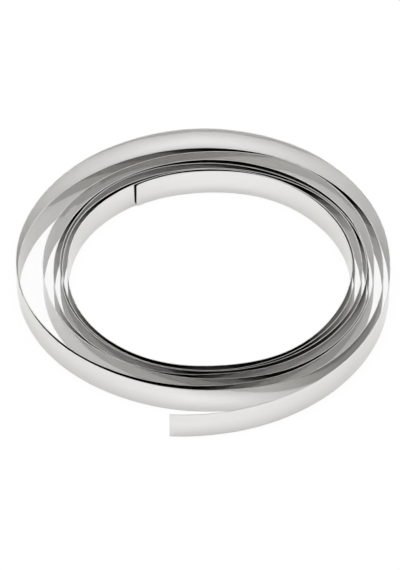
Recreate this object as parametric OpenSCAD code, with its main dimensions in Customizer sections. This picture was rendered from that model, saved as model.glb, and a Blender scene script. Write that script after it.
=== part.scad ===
// Cold-rolled nickel strip in a loose open coil, lying with its slit edges up and down.
// It is one continuous piece. From its free inner end it winds outwards, clockwise seen from
// above, to a free outer end that springs away from the coil. Each turn lies round the one
// inside it, so its place is that turn's radius, plus the thickness, plus the gap of air there.

/* [Strip] */
// Width of the strip, which is the height of the coil as it lies
strip_width = 8; // [3:0.5:25]
// Thickness of the strip
strip_thickness = 0.2; // [0.1:0.05:0.5]

/* [Coil] */
// Diameter of the open eye that the first turn lies round
eye_diameter = 76; // [40:1:160]
// How many times the strip goes round
turns = 7.621; // [2:0.001:8]
// How loosely the turns lie, as a multiple of the gaps in turn_gaps
looseness = 1; // [0.2:0.05:1.5]
// Direction of the inner end from the middle, in degrees anticlockwise from +X
inner_end_direction = 122.5; // [0:0.5:360]

/* [Hidden] */

// Least clear gap where two turns all but touch
least_gap = 0.1;
// Straight facets in one turn of the strip
steps_per_turn = 72;
// Winding angle to each side of a point that the strip's direction there is taken over
reach = 1;

// How far the first turn springs out of the eye's circle, every 30 degrees of winding
first_turn_spring = [0.5, 0.2, 0.8, 0.2, -0.2, -0.6, -0.1, -0.4, 0.7, 0.7, 0.2, 0.6];
// Clear gap inside each later turn, one row a turn, every 30 degrees of winding
turn_gaps = [
    [0.3, 0.7, 0.1, 0.4, 0.5, 1.2, 0.8, 1.5, 1.0, 1.0, 1.1, 1.2],
    [0.8, 0.1, 0.8, 2.1, 1.8, 1.3, 0.7, 0.1, 0.1, 0.3, 0.5, 0.8],
    [2.2, 2.0, 0.9, 0.3, 1.1, 0.9, 1.2, 0.9, 2.0, 2.4, 1.6, 0.8],
    [0.4, 1.3, 1.3, 0.6, 0.1, 1.9, 2.4, 1.6, 0.1, 0.9, 2.6, 3.4],
    [2.9, 3.1, 4.4, 3.0, 1.5, 0.2, 0.8, 2.2, 3.5, 4.8, 6.5, 4.7],
    [2.8, 1.5, 0.1, 1.2, 2.2, 2.7, 2.7, 1.5, 0.8, 0.4, 0.2, 3.0],
    [6.5, 7.9, 6.3, 3.5, 1.7, 1.7, 3.4, 7.9, 11.1, 13.0, 14.0, 14.0],
];

stations_per_turn = len(first_turn_spring);
gap_list = [for (row = turn_gaps) each row];
// Rise of the first turn, so that the second starts clear of the inner end
first_turn_rise = strip_thickness + looseness * gap_list[0];

total_angle = 360 * turns;
step_count = round(turns * steps_per_turn);
step_angle = total_angle / step_count;

// Smooth curve through the second and third of four evenly spaced values
function cubic(before, here, next, after, part) =
    here + part / 2 * (next - before + part * (2 * before - 5 * here + 4 * next - after
    + part * (3 * (here - next) + after - before)));

// Value at a winding angle, between stations 30 degrees apart: the first list goes round and
// meets its own start, and the second runs from its first station to its last
function round_value(list, angle, n = stations_per_turn) =
    let (at = angle / 360 * n, i = floor(at))
    cubic(list[(i + n - 1) % n], list[i % n], list[(i + 1) % n], list[(i + 2) % n], at - i);
function run_value(list, angle, n = stations_per_turn) =
    let (at = angle / 360 * n, i = floor(at), end = len(list) - 1)
    cubic(list[min(abs(i - 1), end)], list[min(i, end)], list[min(i + 1, end)],
          list[min(i + 2, end)], at - i);

// Radius of the middle of the strip at a winding angle from the inner end
function radius_at(angle) =
    angle < 360
    ? (eye_diameter + strip_thickness) / 2 + first_turn_rise * angle / 360
        + round_value(first_turn_spring, angle)
    : radius_at(angle - 360) + strip_thickness
        + max(least_gap, looseness * run_value(gap_list, angle - 360));

// Point on the middle line, and a point half the thickness to one side of it
function middle_at(angle) =
    let (direction = inner_end_direction - angle)
    radius_at(angle) * [cos(direction), sin(direction)];
function side_at(angle, side) =
    let (
        ahead = middle_at(min(angle + reach, total_angle)),
        behind = middle_at(max(angle - reach, 0)),
        slope = ahead - behind,
        outward = [-slope.y, slope.x] / norm(slope)
    )
    middle_at(angle) + side * strip_thickness / 2 * outward;

// Outline of the coil from above: out along one face and back along the other
strip_outline = [
    for (i = [0:step_count]) side_at(i * step_angle, 1),
    for (i = [step_count:-1:0]) side_at(i * step_angle, -1),
];

// Middle of the box round an outline
function box_middle(points) = [
    for (axis = [0, 1])
        let (places = [for (point = points) point[axis]])
        (min(places) + max(places)) / 2
];

module nickel_strip() {
    color("#c8c7c4")
        translate(-box_middle(strip_outline))
            linear_extrude(strip_width)
                polygon(strip_outline);
}

nickel_strip();
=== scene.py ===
# %% [markdown]
# # A loose coil of nickel strip
#
# Nickel strip is sold by the metre, cold-rolled to a fifth of a millimetre, slit to width and
# wound into a coil. Taken off its spool and laid down, the coil relaxes: the turns spring apart
# here and touch there, and both cut ends come free.
#
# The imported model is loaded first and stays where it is. It already has the strip at its true
# size, drawn with straight facets, so this lesson makes the same strip again as a smooth mesh
# with the small things that the eye looks for in bright metal.

import math

import bpy
import numpy as np
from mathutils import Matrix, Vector


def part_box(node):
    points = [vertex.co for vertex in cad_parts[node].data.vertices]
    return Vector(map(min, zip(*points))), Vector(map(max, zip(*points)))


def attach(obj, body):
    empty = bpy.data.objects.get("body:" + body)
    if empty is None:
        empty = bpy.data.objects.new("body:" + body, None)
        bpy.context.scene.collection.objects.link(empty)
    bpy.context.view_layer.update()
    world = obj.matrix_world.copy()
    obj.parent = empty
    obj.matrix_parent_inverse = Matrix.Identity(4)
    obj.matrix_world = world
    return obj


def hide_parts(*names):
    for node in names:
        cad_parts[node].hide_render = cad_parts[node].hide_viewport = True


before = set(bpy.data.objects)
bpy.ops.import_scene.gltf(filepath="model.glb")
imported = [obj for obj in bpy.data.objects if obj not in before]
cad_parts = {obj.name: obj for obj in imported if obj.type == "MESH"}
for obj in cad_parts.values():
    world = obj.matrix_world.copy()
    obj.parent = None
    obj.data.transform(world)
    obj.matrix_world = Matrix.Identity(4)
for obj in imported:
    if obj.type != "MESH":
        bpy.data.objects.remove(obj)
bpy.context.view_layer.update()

MM = 0.001


# %% [markdown]
# ## How the coil lies
#
# A coil could be drawn as a spiral with an even pitch, but a relaxed one isn't even: it has
# crescents of air between turns that touch at their tips. What is simple is the rule that each
# turn lies round the one inside it. So the coil is given by its clear gaps, every 30 degrees of
# winding, and a turn's radius is the radius one turn back, plus the thickness, plus the gap.
# Widening a gap then pushes every turn outside it outwards, as it does on the real coil.
#
# The strip winds outwards clockwise, seen from above. These are the part's own values, in mm and
# degrees.

# %% The lay of the coil
low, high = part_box("nickel_strip")
strip_width = (high.z - low.z) / MM
strip_thickness = 0.2
eye_diameter = 76
turns = 7.621
inner_end_direction = 122.5
least_gap = 0.1

# How far the first turn springs out of the eye's circle
first_turn_spring = [0.5, 0.2, 0.8, 0.2, -0.2, -0.6, -0.1, -0.4, 0.7, 0.7, 0.2, 0.6]
# Clear gap inside each later turn, one row a turn
turn_gaps = [
    [0.3, 0.7, 0.1, 0.4, 0.5, 1.2, 0.8, 1.5, 1.0, 1.0, 1.1, 1.2],
    [0.8, 0.1, 0.8, 2.1, 1.8, 1.3, 0.7, 0.1, 0.1, 0.3, 0.5, 0.8],
    [2.2, 2.0, 0.9, 0.3, 1.1, 0.9, 1.2, 0.9, 2.0, 2.4, 1.6, 0.8],
    [0.4, 1.3, 1.3, 0.6, 0.1, 1.9, 2.4, 1.6, 0.1, 0.9, 2.6, 3.4],
    [2.9, 3.1, 4.4, 3.0, 1.5, 0.2, 0.8, 2.2, 3.5, 4.8, 6.5, 4.7],
    [2.8, 1.5, 0.1, 1.2, 2.2, 2.7, 2.7, 1.5, 0.8, 0.4, 0.2, 3.0],
    [6.5, 7.9, 6.3, 3.5, 1.7, 1.7, 3.4, 7.9, 11.1, 13.0, 14.0, 14.0],
]
gap_list = [gap for row in turn_gaps for gap in row]
stations_per_turn = len(first_turn_spring)
total_angle = 360 * turns
first_turn_rise = strip_thickness + gap_list[0]


def cubic(before, here, after, beyond, part):
    """A smooth curve between the second and third of four evenly spaced values."""
    bend = 2 * before - 5 * here + 4 * after - beyond + part * (3 * (here - after) + beyond - before)
    return here + part / 2 * (after - before + part * bend)


def value_at(values, angle, goes_round):
    """The value at a winding angle between stations. A list that goes round meets its start."""
    station = angle / 360 * stations_per_turn
    first = math.floor(station)
    near = [first - 1, first, first + 1, first + 2]
    if goes_round:
        four = [values[i % len(values)] for i in near]
    else:
        four = [values[min(abs(i), len(values) - 1)] for i in near]
    return cubic(*four, station - first)


def radius_at(angle):
    """Radius of the middle of the strip, in mm, at a winding angle from the inner end."""
    if angle < 360:
        round_turn = (eye_diameter + strip_thickness) / 2 + first_turn_rise * angle / 360
        return round_turn + value_at(first_turn_spring, angle, True)
    gap = max(least_gap, value_at(gap_list, angle - 360, False))
    return radius_at(angle - 360) + strip_thickness + gap


for name, angle in {"inner end": 0, "outer end": total_angle}.items():
    direction = (inner_end_direction - angle) % 360
    print(f"{name}: radius {radius_at(angle):.1f} mm, {direction:.1f} degrees round from +X")

# %% [markdown]
# ## The middle line
#
# A bright strip shows every flaw of its shape, because it is seen through what it reflects. The
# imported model's facets, one every 5 degrees, would break a reflection up, so the line here has
# 2 degree steps and its faces are shaded smooth.
#
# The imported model's flat facets cut a little inside the true curve, by a twentieth of a
# millimetre. The smooth line is drawn in by about as much, so the coil keeps its packed size.

# %% Walk along the strip
steps_per_turn = 180
drawn_in = 0.9985
step_count = round(turns * steps_per_turn)
angles = np.linspace(0, total_angle, step_count + 1)


def line_at(angle):
    """A point on the middle of the strip, seen from above, in mm from the coil's axis."""
    direction = math.radians(inner_end_direction - angle)
    return radius_at(angle) * np.array([math.cos(direction), math.sin(direction)])


def distances_along(points):
    """How far along a line of points each of them is."""
    stretches = np.linalg.norm(np.diff(points, axis=0), axis=1)
    return np.concatenate([[0], np.cumsum(stretches)])


line = drawn_in * np.array([line_at(angle) for angle in angles])
distance = distances_along(line)
strip_length = distance[-1]
print(f"strip: {strip_length:.0f} mm long in {step_count} steps")

# %% Which way is outwards, and where the middle is
along = np.gradient(line, axis=0)
along /= np.linalg.norm(along, axis=1)[:, None]
outward = np.column_stack([-along[:, 1], along[:, 0]])

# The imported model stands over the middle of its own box, and so does this one
to_face = strip_thickness / 2 * outward
outline = np.concatenate([line + to_face, line - to_face])
middle = (outline.min(axis=0) + outline.max(axis=0)) / 2
print(f"middle of the box: {middle[0]:.2f}, {middle[1]:.2f} mm from the coil's axis")

# %% [markdown]
# ## The strip's section
#
# The section is a flat bar, 8 mm by 0.2 mm, with edges left flat by the slitting knives. A knife
# presses the metal round at the corner where it goes in, and leaves a sharp corner where the metal
# breaks away. Here the round corner of the top edge faces into the coil, and the bottom edge is
# the same turned half round. The corners are tiny, but a round one shows the lamp from almost
# anywhere, so the far edges draw bright lines.
#
# The section's points are listed once round: up the outer face, over the top edge, down the inner
# face and under the bottom edge. Each corner is a short arc, and a point close beside each arc
# keeps the faces shading flat.

# %% Points once round the section
entry_corner = 0.08  # mm, the corner that the knife presses round
breakaway_corner = 0.03  # mm, the sharp one
beside_edge = 0.15  # mm from the round corner to the first point on a face
face_parts = 6
corner_steps = 4


def section_points(width):
    """Points round the strip: mm out and mm up from its middle, and 1 on the slit edges."""
    half_width, half_depth = width / 2, strip_thickness / 2
    flat = half_width - entry_corner - beside_edge
    heights = np.linspace(-flat, flat, face_parts + 1)
    outer_face = [(half_depth, up, 0) for up in heights]
    inner_face = [(-half_depth, up, 0) for up in reversed(heights)]
    top_edge = []
    # One quarter arc from facing out to facing up, and one from facing up to facing in
    for side, radius, start in ((1, breakaway_corner, 0), (-1, entry_corner, 90)):
        for k in range(corner_steps + 1):
            turn = math.radians(start + 90 * k / corner_steps)
            out = side * (half_depth - radius) + radius * math.cos(turn)
            up = half_width - radius + radius * math.sin(turn)
            top_edge.append((out, up, 1))
    bottom_edge = [(-out, -up, 1) for out, up, _ in top_edge]
    return np.array(outer_face + top_edge + inner_face + bottom_edge)


whole_section = section_points(strip_width)
ring_size = len(whole_section)
around = distances_along(np.concatenate([whole_section, whole_section[:1]])[:, :2])
print(f"points round the section: {ring_size}, and {around[-1]:.2f} mm round it")

# %% [markdown]
# ## Waves left by the rolls
#
# Rolled strip is never quite flat. Its waves are one to six centimetres long and a hundredth of a
# millimetre or two high: they can't be seen as shape, but they make the reflections wander as
# they do in the real thing. Bump could only tilt the shading, so the waves are in the points.
# Each wave also leans the strip to and fro, which moves its top and bottom opposite ways. The
# lengths are primes, so the waves don't fall into step.

# %% Waviness from rolling
waves = [
    # length mm, height mm, lean mm, start in radians
    (61, 0.020, 0.010, 0.3),
    (37, 0.012, 0.012, 1.9),
    (23, 0.006, 0.010, 4.4),
    (11, 0.003, 0.004, 2.2),
]
lean_pace = 1.7  # how many times the strip leans to and fro in one wave


def waves_at(place, up):
    """How far the waves stand off the strip's middle line, in mm, at a place and a height."""
    across = up / (strip_width / 2)
    total = np.zeros_like(up)
    for length, height, lean, start in waves:
        phase = 2 * math.pi * place / length + start
        total += height * math.sin(phase) + lean * across * math.sin(lean_pace * phase)
    return total


most = sum(height + lean for _, height, lean, _ in waves)
print(f"{len(waves)} waves, which stand off {most:.3f} mm at the very most")

# %% [markdown]
# ## Marks of handling
#
# Thin strip takes a mark from every finger. On the fifth turn, far left, somebody pressed a few
# shallow creases into it: a tenth of a millimetre deep, and seen only because the reflection
# breaks there. The top of the inner end was pushed off the turn behind it. A sculpting brush
# could press such dents, but a formula with a known place and depth is easier to change.

# %% Creases and the pushed end
creases = [
    # winding angle, mm below the top edge, reach along in mm, reach up in mm, mm outwards
    (1790, 0.8, 1.6, 0.9, 0.10),
    (1785, 1.7, 1.8, 1.0, -0.10),
    (1781, 1.4, 1.5, 0.9, 0.12),
    (1777, 4.3, 1.7, 1.2, 0.10),
    (1774, 2.2, 1.8, 1.1, -0.12),
]
end_push = 0.35  # mm inwards, at the very end and at the top
end_push_length = 5  # mm along the strip, in which the push falls to about a third


def handling_at(place, up):
    """How far handling stands the strip off its middle line, in mm, at a place and a height."""
    down = strip_width / 2 - up
    total = -end_push * math.exp(-place / end_push_length) * (1 - down / strip_width)
    for angle, depth_below, reach_along, reach_up, push in creases:
        along_it = (place - np.interp(angle, angles, distance)) / reach_along
        up_it = (down - depth_below) / reach_up
        total += push * np.exp(-(along_it**2) - up_it**2)
    return total


crease_places = [np.interp(angle, angles, distance) for angle, *_ in creases]
print(f"{len(creases)} creases, {min(crease_places):.0f} to {max(crease_places):.0f} mm along")

# %% [markdown]
# ## Corners of the cut ends
#
# Snipping and handling take the points off the four corners of a strip. The inner end was handled
# more, so its corners are rounder. They could be cut with a boolean or a bevel. Narrowing the
# strip's section along a quarter circle does it too, and keeps every face a clean quad.

# %% Corner rounding at the cut ends
end_corners = {"inner": 0.8, "outer": 0.15}  # mm


def width_near_end(place):
    """The strip's full width at a distance along it, narrowed round the corners of each end."""
    distance_in = {"inner": place, "outer": strip_length - place}
    for end, radius in end_corners.items():
        left = radius - distance_in[end]
        if left > 0:
            return strip_width - 2 * (radius - math.sqrt(radius**2 - left**2))
    return strip_width


for end, place in {"inner": 0, "outer": strip_length}.items():
    print(f"straight part of the {end} end's cut: {width_near_end(place):.2f} mm")

# %% [markdown]
# ## Making the mesh
#
# A curve with a bevel could sweep the section, but it gives no say over the ends, and its texture
# coordinates run from 0 to 1. Rings of points joined by quads are as easy, and each corner of a
# quad can carry where it is on the strip: its distance along the strip and its distance round the
# section, in metres. The finish is drawn in those, so the rolling marks follow the strip round
# every turn.

# %% Rings of points
end_arc_step = 15  # degrees of an end corner's arc from one ring to the next


def places_along():
    """Distances of the rings along the strip: one a step, and more at the rounded ends."""
    arc = [1 - math.cos(math.radians(a)) for a in range(0, 90, end_arc_step)]
    inner = [end_corners["inner"] * share for share in arc]
    outer = [end_corners["outer"] * share for share in arc]
    body = [d for d in distance if inner[-1] < d < strip_length - outer[-1]]
    return np.array(inner + body + [strip_length - d for d in reversed(outer)])


def at_rings(values):
    """Values of x and y along the line, read at the rings' places."""
    return np.column_stack([np.interp(places, distance, values[:, axis]) for axis in (0, 1)])


places = places_along()
ring_middle = at_rings(line) - middle
ring_out = at_rings(outward)
ring_out /= np.linalg.norm(ring_out, axis=1)[:, None]

vertices = []
for place, centre, out in zip(places, ring_middle, ring_out):
    section = section_points(width_near_end(place))
    up = section[:, 1]
    stand = section[:, 0] + waves_at(place, up) + handling_at(place, up)
    spots = centre + stand[:, None] * out
    vertices.extend(np.column_stack([spots, up + strip_width / 2]) * MM)
ring_count = len(places)
print(f"{ring_count} rings, {len(vertices)} vertices")

# %% Quads between the rings
ROLLED, SLIT, CUT = 0, 1, 2  # the strip's finishes, in the order of its material slots
is_slit = whole_section[:, 2] == 1
faces, finishes, strip_places = [], [], []
for ring in range(ring_count - 1):
    here, there = ring * ring_size, (ring + 1) * ring_size
    place, next_place = places[ring], places[ring + 1]
    for k in range(ring_size):
        after = (k + 1) % ring_size
        faces.append((here + k, here + after, there + after, there + k))
        finishes.append(SLIT if is_slit[k] and is_slit[after] else ROLLED)
        near, far = around[k], around[k + 1]
        strip_places += [(place, near), (place, far), (next_place, far), (next_place, near)]
print(f"{finishes.count(ROLLED)} faces on the rolled sides, {finishes.count(SLIT)} on slit edges")

# %% Flat faces on the cut ends
# Each row joins a point on the outer side to the one across the thickness, from the bottom up
corner_points = corner_steps + 1
cut_rows = []
for row in range(ring_size // 2):
    outer_point = (row - corner_points) % ring_size
    inner_point = ring_size - 1 - corner_points - row
    cut_rows.append((outer_point, inner_point))

# The two ends face opposite ways, so their corners are taken in opposite orders
last_ring = (ring_count - 1) * ring_size
for ring_start, place, order in ((0, 0, -1), (last_ring, strip_length, 1)):
    for (outer, inner), (outer_above, inner_above) in zip(cut_rows, cut_rows[1:]):
        corners = [outer, outer_above, inner_above, inner][::order]
        faces.append([ring_start + k for k in corners])
        finishes.append(CUT)
        strip_places += [(place, around[k]) for k in corners]
print(f"{finishes.count(CUT)} faces on the two cut ends")

# %% The mesh object
mesh = bpy.data.meshes.new("nickel_strip_smooth")
mesh.from_pydata([tuple(vertex) for vertex in vertices], [], faces)
mesh.update()
strip = bpy.data.objects.new("nickel_strip_smooth", mesh)
bpy.context.scene.collection.objects.link(strip)
print("object:", strip.name)

# %% Where each point is on the strip, for the finish
place_map = mesh.uv_layers.new(name="strip_place")
place_map.data.foreach_set("uv", (np.array(strip_places) * MM).ravel())

mesh.polygons.foreach_set("use_smooth", [finish != CUT for finish in finishes])
mesh.update()
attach(strip, "root")
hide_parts("nickel_strip")
print(f"strip mesh: {len(mesh.polygons)} faces")

# %% [markdown]
# ## Cold-rolled nickel
#
# Pure nickel is a white metal with a faint warmth. Between polished rolls it comes out bright but
# not quite a mirror: fine lines run along the strip, and a reflection softens up and down. Deep
# between two turns light has bounced off nickel many times, which is why the gaps go dark and
# slightly warm. An image of scratches could give the lines, but noise drawn out along the strip
# has no seam and needs no file.

# %% Colour and node helpers
def linear(hex_colour):
    """An sRGB hex colour as linear red, green, blue and alpha."""
    parts = [int(hex_colour[i : i + 2], 16) / 255 for i in (1, 3, 5)]
    return [p / 12.92 if p <= 0.04045 else ((p + 0.055) / 1.055) ** 2.4 for p in parts] + [1]


def add_node(tree, kind, inputs=None, **settings):
    """Adds a node. An input is given by name or number, as a value or as another node's output."""
    made = tree.nodes.new(kind)
    for name, value in settings.items():
        setattr(made, name, value)
    for name, value in (inputs or {}).items():
        if isinstance(value, bpy.types.NodeSocket):
            tree.links.new(value, made.inputs[name])
        else:
            made.inputs[name].default_value = value
    return made


def new_material(name):
    """An empty node material and its tree."""
    material = bpy.data.materials.new(name)
    material.use_nodes = True
    material.node_tree.nodes.clear()
    print("material:", name)
    return material, material.node_tree


# %% Marks drawn out along the strip
def marks_along(tree, length, width, detail, roughness):
    """Soft marks from 0 to 1, drawn out along the strip. Their length and width are in mm."""
    place = add_node(tree, "ShaderNodeUVMap", uv_map="strip_place").outputs["UV"]
    scale = (1 / (length * MM), 1 / (width * MM), 1)
    spread = add_node(tree, "ShaderNodeMapping", {"Vector": place, "Scale": scale})
    noise = add_node(
        tree, "ShaderNodeTexNoise",
        {"Vector": spread.outputs["Vector"], "Scale": 1, "Detail": detail, "Roughness": roughness},
        noise_dimensions="2D",
    )
    return noise.outputs["Fac"]


nickel, tree = new_material("cold_rolled_nickel")
# Real rolling lines are a few hundredths of a millimetre wide, too fine to show
rolling_lines = marks_along(tree, length=30, width=0.25, detail=3, roughness=0.6)
clouds = marks_along(tree, length=45, width=4, detail=2, roughness=0.5)

# %% The strip's finish
lighter_nickel, darker_nickel = "#dad9d7", "#d5d4d2"
smoothest, roughest = 0.05, 0.1
line_depth = 0.004  # mm
line_strength = 0.3

# The mix node's colours are its inputs 6 and 7 and its output 2
tone = add_node(
    tree, "ShaderNodeMix",
    {0: clouds, 6: linear(lighter_nickel), 7: linear(darker_nickel)},
    data_type="RGBA",
)
roughness = add_node(
    tree, "ShaderNodeMapRange", {"Value": rolling_lines, "To Min": smoothest, "To Max": roughest}
)
relief = add_node(
    tree, "ShaderNodeBump",
    {"Height": rolling_lines, "Strength": line_strength, "Distance": line_depth * MM},
)
metal = add_node(
    tree, "ShaderNodeBsdfPrincipled",
    {
        "Base Color": tone.outputs[2],
        "Metallic": 1,
        "Roughness": roughness.outputs["Result"],
        "Normal": relief.outputs["Normal"],
    },
)
add_node(tree, "ShaderNodeOutputMaterial", {"Surface": metal.outputs["BSDF"]})
mesh.materials.append(nickel)
print(f"roughness of the rolled faces: {smoothest} to {roughest}")

# %% [markdown]
# ## Slit edges
#
# The edges were sheared by a pair of slitting knives, which leaves short marks straight across the
# thickness. Such marks spread light along the strip, not across it, so an edge that runs towards
# the lamp overhead is bright for a long way, and where the turns cross the view it goes grey. The
# shader's anisotropy does this, with the strip's own direction as the tangent.

# %% The slit edges' finish
edge_colour = "#ebeae8"
edge_roughness = 0.38
edge_anisotropy = 1

slit_edge, tree = new_material("slit_nickel_edge")
along_strip = add_node(tree, "ShaderNodeTangent", direction_type="UV_MAP", uv_map="strip_place")
sheared = add_node(
    tree, "ShaderNodeBsdfPrincipled",
    {
        "Base Color": linear(edge_colour),
        "Metallic": 1,
        "Roughness": edge_roughness,
        "Anisotropic": edge_anisotropy,
        "Tangent": along_strip.outputs["Tangent"],
    },
)
add_node(tree, "ShaderNodeOutputMaterial", {"Surface": sheared.outputs["BSDF"]})
mesh.materials.append(slit_edge)

# %% [markdown]
# ## Cut ends
#
# The two ends were snipped by hand, so the metal there is torn more than cut: dull and darker.
# Their darker colour is partly painted shade: it also stands in for the shadow in the narrow gap
# beside the inner end. The faces are so narrow that a pattern would never show on them, so one
# even finish is enough.

# %% The cut ends' finish
# The dark tone is partly torn metal and partly painted shade for the gap beside the inner end
torn_and_shaded_colour = "#8f8d8a"
torn_roughness = 0.6

cut_end, tree = new_material("snipped_nickel_end")
torn_and_shaded_end = add_node(
    tree, "ShaderNodeBsdfPrincipled",
    {"Base Color": linear(torn_and_shaded_colour), "Metallic": 1, "Roughness": torn_roughness},
)
add_node(tree, "ShaderNodeOutputMaterial", {"Surface": torn_and_shaded_end.outputs["BSDF"]})
mesh.materials.append(cut_end)
mesh.polygons.foreach_set("material_index", finishes)

# %% [markdown]
# ## The floor
#
# The strip's faces stand upright, so from above they show the floor at their feet, not the lamps.
# A white floor makes them bright, and the shade between the turns makes them dark: the floor is
# the most important light here. To the camera it is white, with a trace of the coil's shadow. In
# the metal it is mostly a lit floor, which keeps most of the shade that the turns throw on it.

# %% A round floor
floor_radius = 4  # m
floor_sides = 96

rim_turns = [math.tau * k / floor_sides for k in range(floor_sides)]
rim = [(floor_radius * math.cos(turn), floor_radius * math.sin(turn), 0) for turn in rim_turns]
floor_mesh = bpy.data.meshes.new("floor")
floor_mesh.from_pydata(rim, [], [tuple(range(floor_sides))])
floor = bpy.data.objects.new("floor", floor_mesh)
bpy.context.scene.collection.objects.link(floor)
print(f"floor: {2 * floor_radius} m across")

# %% The floor's white finish
white = linear("#ffffff")
white_to_camera = 0.9
white_in_metal = 0.15


def ray_kinds(tree):
    """Two values: 1 for what the camera sees itself, and 1 for what shows in metal or glass."""
    path = add_node(tree, "ShaderNodeLightPath").outputs
    in_metal = add_node(
        tree, "ShaderNodeMath",
        {0: path["Is Glossy Ray"], 1: path["Is Transmission Ray"]}, operation="MAXIMUM",
    )
    return path["Is Camera Ray"], in_metal.outputs[0]


white_floor, tree = new_material("white_floor")
by_camera, by_metal = ray_kinds(tree)
share_in_metal = add_node(
    tree, "ShaderNodeMath", {0: by_metal, 1: white_in_metal}, operation="MULTIPLY"
)
share = add_node(
    tree, "ShaderNodeMath",
    {0: by_camera, 1: white_to_camera, 2: share_in_metal.outputs[0]}, operation="MULTIPLY_ADD",
)
lit = add_node(tree, "ShaderNodeBsdfDiffuse", {"Color": white})
shown = add_node(tree, "ShaderNodeEmission", {"Color": white, "Strength": 1})
both = add_node(
    tree, "ShaderNodeMixShader", {0: share.outputs[0], 1: lit.outputs[0], 2: shown.outputs[0]}
)
add_node(tree, "ShaderNodeOutputMaterial", {"Surface": both.outputs[0]})
floor_mesh.materials.append(white_floor)

# %% [markdown]
# ## The studio
#
# A white backdrop stands low round the table, and above it the ceiling is dim, but for one long
# softbox straight overhead. The faces look down and never see any of that. The slit edges look
# up: where they cross the view they show the dim ceiling and go grey, and where they turn towards
# the softbox they brighten. The camera always sees white behind the coil, and matt surfaces get a
# weak, even light from all round as well, so the shadows stay soft.

# %% Backdrop and ceiling
even_light = 0.13
ceiling_light = 0.12
backdrop_top = 0.1  # sine of the height angle at which the white backdrop starts to fade
ceiling_start = 0.3  # and of the one at which the dim ceiling begins

scene = bpy.context.scene
world = bpy.data.worlds.new("studio")
scene.world = world
world.use_nodes = True
tree = world.node_tree
tree.nodes.clear()

towards = add_node(tree, "ShaderNodeTexCoord").outputs["Generated"]
axes = add_node(tree, "ShaderNodeSeparateXYZ", {"Vector": towards})
room = add_node(
    tree, "ShaderNodeMapRange",
    {
        "Value": axes.outputs["Z"],
        "From Min": backdrop_top,
        "From Max": ceiling_start,
        "To Min": 1,
        "To Max": ceiling_light,
    },
)
by_camera, by_metal = ray_kinds(tree)
in_view = add_node(
    tree, "ShaderNodeMath", {0: by_camera, 1: room.outputs["Result"]}, operation="MAXIMUM"
)
seen = add_node(tree, "ShaderNodeMath", {0: by_camera, 1: by_metal}, operation="MAXIMUM")
strength = add_node(
    tree, "ShaderNodeMapRange",
    {"Value": seen.outputs[0], "To Min": even_light, "To Max": in_view.outputs[0]},
)
sky = add_node(
    tree, "ShaderNodeBackground", {"Color": white, "Strength": strength.outputs["Result"]}
)
add_node(tree, "ShaderNodeOutputWorld", {"Surface": sky.outputs["Background"]})
print("world:", world.name)

# %% One long softbox overhead
softbox_across = 3.6  # m, from left to right
softbox_deep = 1.0  # m, from front to back
softbox_height = 1.0  # m over the floor
softbox_power = 27.5  # W

softbox_data = bpy.data.lights.new("softbox_overhead", "AREA")
softbox_data.shape = "RECTANGLE"
softbox_data.size = softbox_across
softbox_data.size_y = softbox_deep
softbox_data.energy = softbox_power
softbox = bpy.data.objects.new("softbox_overhead", softbox_data)
scene.collection.objects.link(softbox)
softbox.location = (0, 0, softbox_height)
print("light:", softbox.name)

# %% [markdown]
# ## The camera
#
# The coil is seen from the front, about as much from above as from the side, so that its eye is
# open and the strip's faces show as well. A long lens from most of a metre away keeps its near and
# far sides within a tenth of one size.

# %% Camera
elevation = math.radians(43.7)
camera_distance = 0.895  # m
looked_at = Vector((-0.00081, 0.00067, 0))  # m
film_width = 36  # mm
lens_length = 208.4  # mm

camera_data = bpy.data.cameras.new("camera")
camera_data.sensor_width = film_width
camera_data.lens = lens_length
camera = bpy.data.objects.new("camera", camera_data)
scene.collection.objects.link(camera)
back = Vector((0, -math.cos(elevation), math.sin(elevation)))
camera.location = looked_at + camera_distance * back
camera.rotation_mode = "QUATERNION"
camera.rotation_quaternion = (-back).to_track_quat("-Z", "Y")
scene.camera = camera
scene.view_settings.view_transform = "Standard"
print(f"camera: {camera.location.z / MM:.0f} mm over the floor")
